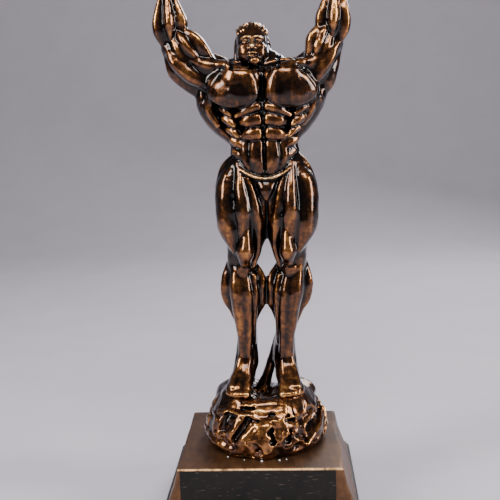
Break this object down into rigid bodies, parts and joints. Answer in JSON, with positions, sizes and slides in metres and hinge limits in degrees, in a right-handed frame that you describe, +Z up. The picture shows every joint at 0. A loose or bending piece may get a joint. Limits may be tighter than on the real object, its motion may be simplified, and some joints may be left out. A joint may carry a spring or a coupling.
{
  "type": "figure trophy",
  "caption": "Physique trophy: a muscular figure with raised arms and clenched fists on a boulder, clamped by a stud to a hollow stepped plinth with a blank name plate.",
  "frame": {"origin": "centre of the plinth's footprint, on the surface that the felt pads stand on", "axes": "+Z up along the figure, -Y is the front that the figure and the name plate face, +X is the figure's own left side"},
  "size_m": [0.106, 0.106, 0.3041],
  "materials": {
    "antique_bronze": "antique bronze paint on cast resin, rubbed bright on the ridges, glossy",
    "plinth_bronze": "satin copper-brown paint on cast resin",
    "black_lacquer": "satin black lacquer",
    "plate_black": "black anodised",
    "zinc_steel": "zinc plated",
    "gypsum": "matte",
    "hardboard": "raw",
    "felt": "pressed felt",
    "adhesive": "foam tape"
  },
  "bodies": {
    "root": {"anchor_nut": "zinc_steel", "ballast": "gypsum", "block_screw_front_left": "zinc_steel", "block_screw_front_right": "zinc_steel", "block_screw_rear_left": "zinc_steel", "block_screw_rear_right": "zinc_steel", "board_screw_front_left": "zinc_steel", "board_screw_front_right": "zinc_steel", "board_screw_rear_left": "zinc_steel", "board_screw_rear_right": "zinc_steel", "bottom_board": "hardboard", "felt_pad_front_left": "felt", "felt_pad_front_right": "felt", "felt_pad_rear_left": "felt", "felt_pad_rear_right": "felt", "fixing_nut": "zinc_steel", "fixing_stud": "zinc_steel", "flat_washer": "zinc_steel", "head": "antique_bronze", "left_arm": "antique_bronze", "leg_rod_left": "zinc_steel", "leg_rod_right": "zinc_steel", "lower_body": "antique_bronze", "name_plate": "plate_black", "neck_pin": "zinc_steel", "plate_adhesive": "adhesive", "plinth_block": "plinth_bronze", "plinth_step": "black_lacquer", "right_arm": "antique_bronze", "rock": "antique_bronze", "shoulder_pin_left": "zinc_steel", "shoulder_pin_right": "zinc_steel", "spring_washer": "zinc_steel", "turn_pin_left": "zinc_steel", "turn_pin_right": "zinc_steel", "upper_torso": "antique_bronze", "waist_key": "antique_bronze"}
  },
  "joints": []
}
